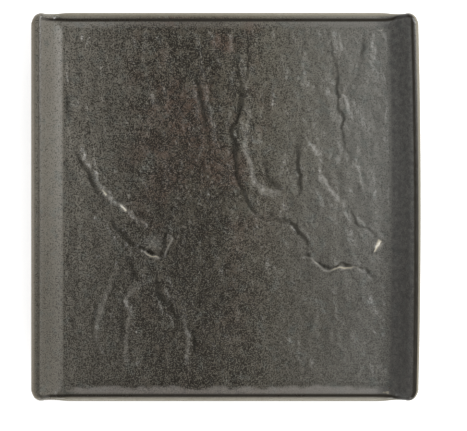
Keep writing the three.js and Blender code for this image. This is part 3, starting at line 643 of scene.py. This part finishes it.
def way_from_crest(count, flat, ring_points):
    """Millimetres from the crest, below zero inside the well, above zero over the rolled edge."""
    flat_x, flat_y = flat
    inside = np.maximum(np.abs(flat_x) - CREST_X, np.abs(flat_y) - CREST_Y)
    rings = ring_points.reshape(-1, count, 3)
    steps = np.linalg.norm(np.diff(rings, axis=0), axis=2)
    first = np.full((1, count), FIRST_RING_WAY)
    outside = np.concatenate([first, first + np.cumsum(steps, axis=0)])
    return np.concatenate([inside, outside.ravel()])


def make_glaze(material):
    """The coat of glaze: the fine upper and outer face with the slate relief, and a bead at the foot ring."""
    points, faces, last, flat, rim = platter_skin(FINER)
    nodes = len(flat[0])
    points = points + GLAZE * vertex_normals(points, faces)
    relief, pooled, broken = slate_relief(points[:nodes, 0], points[:nodes, 1])
    points[:nodes, 2] += relief
    bead = foot_ring(*rim, FOOT_INSET + GLAZE_BEAD, FOOT_HEIGHT - GLAZE_BEAD)
    below = len(points) + np.arange(len(last))
    way = way_from_crest(len(last), flat, points[nodes:])
    way = np.concatenate([way, way[-len(last):] + BEAD_WAY])
    points = np.concatenate([points, bead])
    faces = np.concatenate([faces, ring_faces(last, below)])
    piece = new_piece("glazed_surface", points, faces, material)
    outside = np.zeros(len(points) - nodes)
    paint_values(piece, "crest_way", way)
    paint_values(piece, "pooled", np.concatenate([pooled, outside]))
    paint_values(piece, "broken", np.concatenate([broken, outside]))
    slate = slate_share(points[:nodes, 0], points[:nodes, 1])
    paint_values(piece, "slate", np.concatenate([slate, outside]))
    return piece


def make_clay(material):
    """The clay under the glaze, with a bare foot ring that is rounded where it stands on the table."""
    points, faces, above, flat, rim = platter_skin(1)
    nodes = len(flat[0])
    points[:nodes, 2] -= RIVEN_DEPTH * slate_share(points[:nodes, 0], points[:nodes, 1])
    inner = FOOT_INSET + 2 * FOOT_DRAFT + FOOT_WIDTH
    profile = [
        (FOOT_INSET + FOOT_DRAFT * 0.75, FOOT_ROUND),
        (FOOT_INSET + FOOT_DRAFT + FOOT_ROUND * 0.3, FOOT_ROUND * 0.3),
        (FOOT_INSET + FOOT_DRAFT + FOOT_ROUND, 0),
        (inner - FOOT_DRAFT - FOOT_ROUND, 0),
        (inner - FOOT_DRAFT - FOOT_ROUND * 0.3, FOOT_ROUND * 0.3),
        (inner - FOOT_DRAFT * 0.75, FOOT_ROUND),
        (inner, FOOT_HEIGHT),
    ]
    all_points, all_faces = [points], list(faces)
    count = len(points)
    for inset, z in profile:
        below = count + np.arange(len(above))
        all_points.append(foot_ring(*rim, inset, z))
        all_faces.extend(ring_faces(above, below))
        above, count = below, count + len(above)
    all_faces.append(above[::-1])
    return new_piece("clay_body", np.concatenate(all_points), all_faces, material)


# Materials

class Nodes:
    """Adds nodes to a material or group, left to right in the order they are made."""

    def __init__(self, tree):
        self.tree = tree
        self.count = 0

    def add(self, kind, inputs=(), **settings):
        node = self.tree.nodes.new(kind)
        node.location = (200 * (self.count % 8), -260 * (self.count // 8))
        self.count += 1
        for name, value in settings.items():
            setattr(node, name, value)
        for socket, value in dict(inputs).items():
            self.feed(node.inputs[socket], value)
        return node

    def feed(self, socket, value):
        if isinstance(value, bpy.types.NodeSocket):
            self.tree.links.new(value, socket)
        else:
            socket.default_value = value

    def math(self, operation, one, two=0.0, clamp=False):
        node = self.add("ShaderNodeMath", {0: one, 1: two}, operation=operation, use_clamp=clamp)
        return node.outputs[0]

    def times(self, one, two):
        return self.math("MULTIPLY", one, two)

    def plus(self, one, two):
        return self.math("ADD", one, two)

    def spread(self, value, low, high, to_low=0.0, to_high=1.0):
        """A smooth change from one value to another, as a value goes from low to high."""
        inputs = {"Value": value, "From Min": low, "From Max": high, "To Min": to_low, "To Max": to_high}
        return self.add("ShaderNodeMapRange", inputs, interpolation_type="SMOOTHSTEP").outputs["Result"]

    def mix(self, share, one, two):
        node = self.add("ShaderNodeMix", data_type="RGBA")
        for socket, value in zip((0, 6, 7), (share, one, two)):
            self.feed(node.inputs[socket], value)
        return node.outputs[2]

    def clouds(self, place, size_mm, detail, roughness=0.5):
        inputs = {"Vector": place, "Scale": 1000.0 / size_mm, "Detail": detail, "Roughness": roughness}
        return self.add("ShaderNodeTexNoise", inputs).outputs["Fac"]

    def bump(self, height, strength, metres):
        inputs = {"Height": height, "Strength": strength, "Distance": metres}
        return self.add("ShaderNodeBump", inputs).outputs["Normal"]


def srgb(red, green, blue):
    """A colour given as on a screen, from 0 to 255, as the shader reads it."""
    parts = [value / 255 for value in (red, green, blue)]
    return (*[v / 12.92 if v <= 0.04045 else ((v + 0.055) / 1.055) ** 2.4 for v in parts], 1.0)


def new_material(name):
    material = bpy.data.materials.new(name)
    material.use_nodes = True
    nodes = Nodes(material.node_tree)
    shader = material.node_tree.nodes["Principled BSDF"]
    return material, nodes, shader


def new_group(name, inputs, outputs):
    """An empty node group with float inputs, each with its usual value, and the named outputs."""
    group = bpy.data.node_groups.new(name, "ShaderNodeTree")
    for label, value in inputs.items():
        socket = group.interface.new_socket(label, in_out="INPUT", socket_type="NodeSocketFloat")
        socket.default_value = value
    for label in outputs:
        group.interface.new_socket(label, in_out="OUTPUT", socket_type="NodeSocketFloat")
    nodes = Nodes(group)
    return group, nodes, nodes.add("NodeGroupInput"), nodes.add("NodeGroupOutput")


def make_speckle_group():
    """The specks of the glaze: dark grain and pin dots, pale flecks between them, which partly stand for
    painted glints, and a height. The density goes from 0, hardly any grain, to 1, most of the ground covered."""
    group, nodes, given, out = new_group("glaze_speckle", {"Density": 0.5}, ["Dark", "Pale", "Height"])
    place = nodes.add("ShaderNodeTexCoord").outputs["Object"]
    density = given.outputs["Density"]
    grain_noise = nodes.clouds(place, 0.85, 0.0)
    limit = nodes.plus(nodes.times(density, 0.28), 0.27)
    grain = nodes.spread(nodes.math("SUBTRACT", grain_noise, limit), 0.03, -0.04)
    cells = nodes.add("ShaderNodeTexVoronoi", {"Vector": place, "Scale": 1000 / 2.0})
    depth = nodes.add("ShaderNodeSeparateColor", {0: cells.outputs["Color"]}).outputs["Red"]
    round_dots = nodes.spread(cells.outputs["Distance"], 0.42, 0.26)
    dots = nodes.times(round_dots, nodes.spread(depth, 0.3, 0.6))
    dots = nodes.times(dots, nodes.spread(density, 0.0, 0.5))
    dark = nodes.math("MAXIMUM", grain, dots)
    nodes.feed(out.inputs["Dark"], dark)
    nodes.feed(out.inputs["Pale"], nodes.spread(grain_noise, 0.54, 0.72))
    nodes.feed(out.inputs["Height"], nodes.math("SUBTRACT", 1.0, dark))
    return group


# What the sections of the slate glaze read: the place of a point, and the values kept on the mesh
GlazeFields = namedtuple("GlazeFields", "place x y middle crest_way pooled broken slate")


def glaze_fields(nodes):
    place = nodes.add("ShaderNodeTexCoord").outputs["Object"]
    apart = nodes.add("ShaderNodeSeparateXYZ", {0: place}).outputs
    middle = nodes.times(nodes.spread(apart["X"], -0.11, -0.03), nodes.spread(apart["X"], 0.06, -0.01))
    kept = [nodes.add("ShaderNodeAttribute", attribute_name=name).outputs["Fac"]
            for name in ("crest_way", "pooled", "broken", "slate")]
    return GlazeFields(place, apart["X"], apart["Y"], middle, *kept)


def glaze_ground(nodes, at):
    """The ground colour: brown in the middle, greyer to the sides and darker to the front, with clouds. The
    paler grey to the right is partly painted sheen, and the darkening to the front is painted shade.
    """
    wander = nodes.times(nodes.math("SUBTRACT", nodes.clouds(at.place, 45, 3.0), 0.5), 0.05)
    across = {"Value": nodes.plus(at.x, wander), "From Min": -0.14, "From Max": 0.14}
    share = nodes.add("ShaderNodeMapRange", across).outputs["Result"]
    tones = nodes.add("ShaderNodeValToRGB", {"Fac": share})
    ramp = tones.color_ramp
    while len(ramp.elements) < len(GLAZE_TONES_AND_SHEEN):
        ramp.elements.new(0.5)
    for element, (position, tone) in zip(ramp.elements, GLAZE_TONES_AND_SHEEN):
        element.position = position
        element.color = srgb(*tone)
    # Painted shade: the ground darkens towards the front, where the light falls off.
    front = nodes.spread(at.y, 0.04, -0.09, 0.0, 0.36)
    colour = nodes.mix(front, tones.outputs["Color"], srgb(*FRONT_SHADE_BROWN))

    distance = nodes.add("ShaderNodeVectorMath", {0: at.place, 1: RUST_MIDDLE}, operation="DISTANCE")
    gathered = nodes.spread(distance.outputs["Value"], 0.06, 0.015, 0.0, 0.12)
    rust = nodes.spread(nodes.plus(nodes.clouds(at.place, 26, 4.0, 0.6), gathered), 0.48, 0.66)
    rust = nodes.times(rust, nodes.spread(at.y, -0.07, 0.01, 0.35, 1.0))
    rust = nodes.times(rust, nodes.spread(at.middle, 0.0, 1.0, 0.05, 0.6))
    colour = nodes.mix(rust, colour, srgb(*RUST))
    elsewhere = nodes.add("ShaderNodeVectorMath", {0: at.place, 1: (0.4, 0.2, 0)}).outputs[0]
    slaty = nodes.spread(nodes.clouds(elsewhere, 8, 3.0, 0.6), 0.52, 0.7)
    return nodes.mix(nodes.times(slaty, 0.45), colour, srgb(*SLATY_GREY))


def glaze_specks(nodes, at, speckle):
    """The specks, denser in the middle, in patches and to the front, and their strength."""
    from_right = nodes.spread(at.x, 0.1, -0.03, 0.3, 0.8)
    from_left = nodes.spread(at.x, -0.13, -0.03, 0.7, 1.0)
    patches = nodes.spread(nodes.clouds(at.place, 7, 3.0, 0.6), 0.38, 0.62, -1.0, 1.0)
    patches = nodes.times(patches, nodes.spread(at.middle, 0.0, 1.0, 0.08, 0.5))
    front = nodes.spread(at.y, 0.02, -0.08, 0.0, 0.15)
    density = nodes.plus(nodes.plus(nodes.times(from_right, from_left), patches), front)
    density = nodes.math("MULTIPLY", density, nodes.spread(at.slate, 0.0, 1.0, 0.4, 1.0), clamp=True)
    specks = nodes.add("ShaderNodeGroup", {"Density": density}, node_tree=speckle).outputs
    stronger = nodes.spread(at.x, 0.1, -0.02, 0.5, 0.97)
    weaker = nodes.spread(at.x, -0.12, -0.05, 0.8, 1.0)
    return specks, nodes.times(stronger, weaker)


def glaze_breaks(nodes, at, colour):
    """The glaze dark where it pools below a ledge and as painted shade on faces turned from the light, pale
    where it breaks over one and as a painted highlight on its lit face, and cream on a chip as a painted
    glint.
    """
    # Pooled glaze and painted shade on the faces turned from the light.
    dark = nodes.times(nodes.spread(at.pooled, 0.15, 1.6), 0.6)
    colour = nodes.mix(dark, colour, srgb(*POOLED_AND_SHADE_BROWN))
    # Painted highlight: pale on the lit faces of the ledges and in the pocket.
    pale = nodes.spread(at.broken, 0.2, 2.0)
    colour = nodes.mix(nodes.times(pale, 0.42), colour, srgb(*BROKEN_AND_LIT_GREY))
    # Painted glint: cream on the facets and on the tallest narrow lit faces.
    chipped = nodes.spread(at.broken, 1.4, 2.2, 0.0, 0.55)
    return nodes.mix(chipped, colour, srgb(*CHIP_GLINT_CREAM)), pale


def glaze_sides(nodes, at, colour):
    """The raised ends, darker and mottled to the right as painted shade, and the lips, paler to the front as
    painted sheen.
    """
    off_slate = nodes.spread(at.slate, 1.0, 0.0)
    on_end = nodes.spread(nodes.math("ABSOLUTE", at.x), 0.114, 0.124)
    shaded = nodes.times(nodes.times(off_slate, on_end), nodes.spread(at.x, -0.12, 0.12, 0.02, 0.45))
    mottle = nodes.spread(nodes.clouds(at.place, 4, 4.0, 0.8), 0.36, 0.64, 0.55, 1.45)
    colour = nodes.mix(nodes.times(shaded, mottle), colour, srgb(*END_SHADE))
    # Painted sheen on the lips' inner slopes, stronger on the front lip.
    on_lip = nodes.times(off_slate, nodes.math("SUBTRACT", 1.0, on_end))
    on_lip = nodes.times(on_lip, nodes.spread(at.y, 0.1, -0.1, 0.06, 0.24))
    return nodes.mix(on_lip, colour, srgb(*LIP_SHEEN_GREY))


def glaze_rim(nodes, at, colour):
    """The beige rolled edge, lighter on the left end as painted light, and the dark line along the crest,
    partly the glaze's own colour and partly painted shade.
    """
    # Painted light: the rolled edge is a lighter beige on the left end, which gets little lamp light.
    edge = nodes.mix(nodes.spread(at.x, -0.15, -0.14), srgb(*LEFT_EDGE_LIT_BEIGE), srgb(*EDGE_BEIGE))
    rolled = nodes.spread(at.crest_way, 0.4, 4.4)
    colour = nodes.mix(nodes.times(rolled, 0.9), colour, edge)
    run = nodes.plus(nodes.times(at.y, CREST_SHIFT_Y), nodes.spread(at.x, 0.128, 0.138, 0.0, CREST_SHIFT_RIGHT))
    run = nodes.plus(run, nodes.spread(at.x, -0.128, -0.138, 0.0, CREST_SHIFT_LEFT))
    line_way = nodes.math("SUBTRACT", at.crest_way, run)
    # Painted shade: the line reaches further in on the right end, which is turned from the key light, and it
    # is weaker on the left end.
    broad = nodes.plus(line_way, nodes.spread(at.x, 0.13, 0.136, 0.0, 1.2))
    crest = nodes.times(nodes.spread(broad, -1.6, -0.3), nodes.spread(line_way, 1.5, 0.5))
    left_end = nodes.spread(at.x, -0.146, -0.136, 0.4, 1.0)
    return nodes.mix(nodes.times(crest, left_end), colour, srgb(*CREST_BLACK_AND_SHADE))


def glaze_roughness(nodes, at, dark_specks):
    """Semi-gloss: duller to the right, in the middle and up the sides, glossy on the crest and on chips."""
    rough = nodes.spread(nodes.clouds(at.place, 6, 3.0), 0.3, 0.7, 0.28, 0.38)
    rough = nodes.plus(rough, nodes.spread(at.x, -0.02, 0.09, 0.0, 0.12))
    rough = nodes.plus(rough, nodes.times(dark_specks, 0.08))
    rough = nodes.plus(rough, nodes.spread(at.slate, 1.0, 0.0, 0.0, 0.1))
    rough = nodes.plus(rough, nodes.spread(at.middle, 0.0, 1.0, 0.0, 0.14))
    rough = nodes.plus(rough, nodes.spread(at.crest_way, -3.0, -1.0, 0.0, -0.22))
    polished = nodes.spread(at.broken, 0.9, 2.0, 0.0, 0.2)
    return nodes.math("SUBTRACT", rough, polished, clamp=True)


def make_glaze_material(speckle):
    """Semi-gloss speckled slate glaze over the well, the ends, the lips and the outside."""
    material, nodes, shader = new_material("slate_glaze")
    at = glaze_fields(nodes)
    specks, strength = glaze_specks(nodes, at, speckle)
    colour = glaze_ground(nodes, at)
    # Pale flecks, partly painted glints sparkling in the glaze.
    flecks = nodes.times(specks["Pale"], nodes.spread(at.middle, 0.0, 1.0, 0.18, 0.25))
    colour = nodes.mix(flecks, colour, srgb(*PALE_FLECK_GLINT))
    colour = nodes.mix(nodes.times(specks["Dark"], strength), colour, srgb(*DARK_SPECK))
    colour, pale = glaze_breaks(nodes, at, colour)
    colour = glaze_rim(nodes, at, glaze_sides(nodes, at, colour))
    nodes.feed(shader.inputs["Base Color"], colour)
    nodes.feed(shader.inputs["Roughness"], glaze_roughness(nodes, at, specks["Dark"]))
    shader.inputs["IOR"].default_value = 1.52
    shader.inputs["Specular IOR Level"].default_value = 0.38

    fine = nodes.plus(specks["Height"], nodes.clouds(at.place, 2.6, 2.0))
    rugged = nodes.times(strength, nodes.math("SUBTRACT", 1.0, nodes.times(pale, 0.85)))
    rugged = nodes.times(rugged, nodes.spread(at.slate, 0.0, 1.0, 0.3, 1.0))
    nodes.feed(shader.inputs["Normal"], nodes.bump(nodes.times(fine, rugged), 0.8, 0.0004))
    return material


def make_base_material(speckle):
    """The glaze within the foot ring: the same glaze, plainer and darker, with clouds where it pooled."""
    material, nodes, shader = new_material("base_glaze_finish")
    place = nodes.add("ShaderNodeTexCoord").outputs["Object"]
    specks = nodes.add("ShaderNodeGroup", node_tree=speckle)
    specks.inputs["Density"].default_value = 0.4
    pooled = nodes.spread(nodes.clouds(place, 60, 3.0), 0.35, 0.65)
    colour = nodes.mix(pooled, srgb(*BASE_THIN), srgb(*BASE_POOLED))
    colour = nodes.mix(nodes.times(specks.outputs["Dark"], 0.5), colour, srgb(*BASE_SPECK))
    colour = nodes.mix(nodes.times(specks.outputs["Pale"], 0.15), colour, srgb(*BASE_FLECK))
    nodes.feed(shader.inputs["Base Color"], colour)
    rough = nodes.spread(nodes.clouds(place, 8, 3.0), 0.3, 0.7, 0.34, 0.48)
    nodes.feed(shader.inputs["Roughness"], rough)
    nodes.feed(shader.inputs["Normal"], nodes.bump(specks.outputs["Height"], 0.3, 0.0002))
    return material


def make_clay_material():
    """Bare fired stoneware: warm buff clay with darker grog, dry to the touch."""
    material, nodes, shader = new_material("bare_stoneware")
    place = nodes.add("ShaderNodeTexCoord").outputs["Object"]
    toasted = nodes.spread(nodes.clouds(place, 22, 4.0), 0.35, 0.65)
    colour = nodes.mix(toasted, srgb(*CLAY_BUFF), srgb(*CLAY_TOASTED))
    grog = nodes.spread(nodes.clouds(place, 1.1, 2.0), 0.62, 0.7)
    colour = nodes.mix(nodes.times(grog, 0.6), colour, srgb(*CLAY_GROG))
    nodes.feed(shader.inputs["Base Color"], colour)
    sand = nodes.clouds(place, 0.8, 3.0)
    nodes.feed(shader.inputs["Roughness"], nodes.spread(sand, 0.2, 0.8, 0.8, 0.95))
    nodes.feed(shader.inputs["Normal"], nodes.bump(sand, 0.6, 0.0003))
    return material


# The studio

def make_floor():
    """A white table top that keeps the platter's soft shadow and is white to the eye and in reflections."""
    material, nodes, shader = new_material("white_table")
    place = nodes.add("ShaderNodeTexCoord").outputs["Object"]
    paper = nodes.spread(nodes.clouds(place, 40, 2.0), 0.3, 0.7)
    whites = [srgb(*white) for white in TABLE_WHITES]
    nodes.feed(shader.inputs["Base Color"], nodes.mix(paper, *whites))
    shader.inputs["Roughness"].default_value = 0.9
    shader.inputs["Specular IOR Level"].default_value = 0.1
    shader.inputs["Emission Color"].default_value = (1, 1, 1, 1)
    path = nodes.add("ShaderNodeLightPath").outputs
    seen = nodes.math("MAXIMUM", path["Is Camera Ray"], path["Is Glossy Ray"])
    seen = nodes.math("MAXIMUM", seen, path["Is Transmission Ray"])
    nodes.feed(shader.inputs["Emission Strength"], nodes.times(seen, 0.62))
    mesh = bpy.data.meshes.new("table")
    corners = [(-1, -1), (1, -1), (1, 1), (-1, 1)]
    places = [(x * TABLE_REACH, y * TABLE_REACH, -TABLE_DROP) for x, y in corners]
    mesh.from_pydata(places, [], [(0, 1, 2, 3)])
    mesh.materials.append(material)
    floor = bpy.data.objects.new("table", mesh)
    bpy.context.scene.collection.objects.link(floor)


def soft_box(name, place, size, watts):
    """A soft light aimed at the platter."""
    data = bpy.data.lights.new(name, "AREA")
    data.shape = "RECTANGLE"
    data.size, data.size_y = size
    data.energy = watts
    lamp = bpy.data.objects.new(name, data)
    lamp.location = place
    lamp.rotation_euler = (-Vector(place)).to_track_quat("-Z", "Y").to_euler()
    bpy.context.scene.collection.objects.link(lamp)


def make_studio():
    scene = bpy.context.scene
    scene.view_settings.view_transform = "Standard"
    world = bpy.data.worlds.new("studio")
    world.use_nodes = True
    background = world.node_tree.nodes["Background"]
    background.inputs["Color"].default_value = (1, 1, 1, 1)
    background.inputs["Strength"].default_value = 0.34
    scene.world = world
    soft_box("key_box", (1.19, 0.63, 0.95), (0.7, 0.7), 22)
    soft_box("back_box", (0.1, 1.6, 0.62), (0.5, 0.3), 4)
    soft_box("front_box", (0.1, -1.6, 0.62), (1.0, 0.5), 13)
    soft_box("left_box", (-1.6, 0.0, 0.5), (0.5, 1.0), 4)
    make_floor()


def make_camera():
    scene = bpy.context.scene
    data = bpy.data.cameras.new("overhead")
    data.sensor_fit = "HORIZONTAL"
    data.sensor_width = SENSOR
    data.lens = FOCAL_PIXELS * SENSOR / PICTURE[0]
    camera = bpy.data.objects.new("overhead", data)
    off_x = (PICTURE[0] / 2 - ORIGIN_PIXEL[0]) * CAMERA_HEIGHT / FOCAL_PIXELS
    off_y = (ORIGIN_PIXEL[1] - PICTURE[1] / 2) * CAMERA_HEIGHT / FOCAL_PIXELS
    camera.location = (off_x, off_y, CAMERA_HEIGHT)
    scene.collection.objects.link(camera)
    scene.camera = camera


def dress_platter():
    speckle = make_speckle_group()
    glaze = make_glaze(make_glaze_material(speckle))
    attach(glaze, "root")
    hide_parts("glaze_coat")
    clay = make_clay(make_clay_material())
    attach(clay, "root")
    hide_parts("stoneware_body")
    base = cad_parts["base_glaze"]
    base.data.materials.clear()
    base.data.materials.append(make_base_material(speckle))


make_camera()
make_studio()
dress_platter()
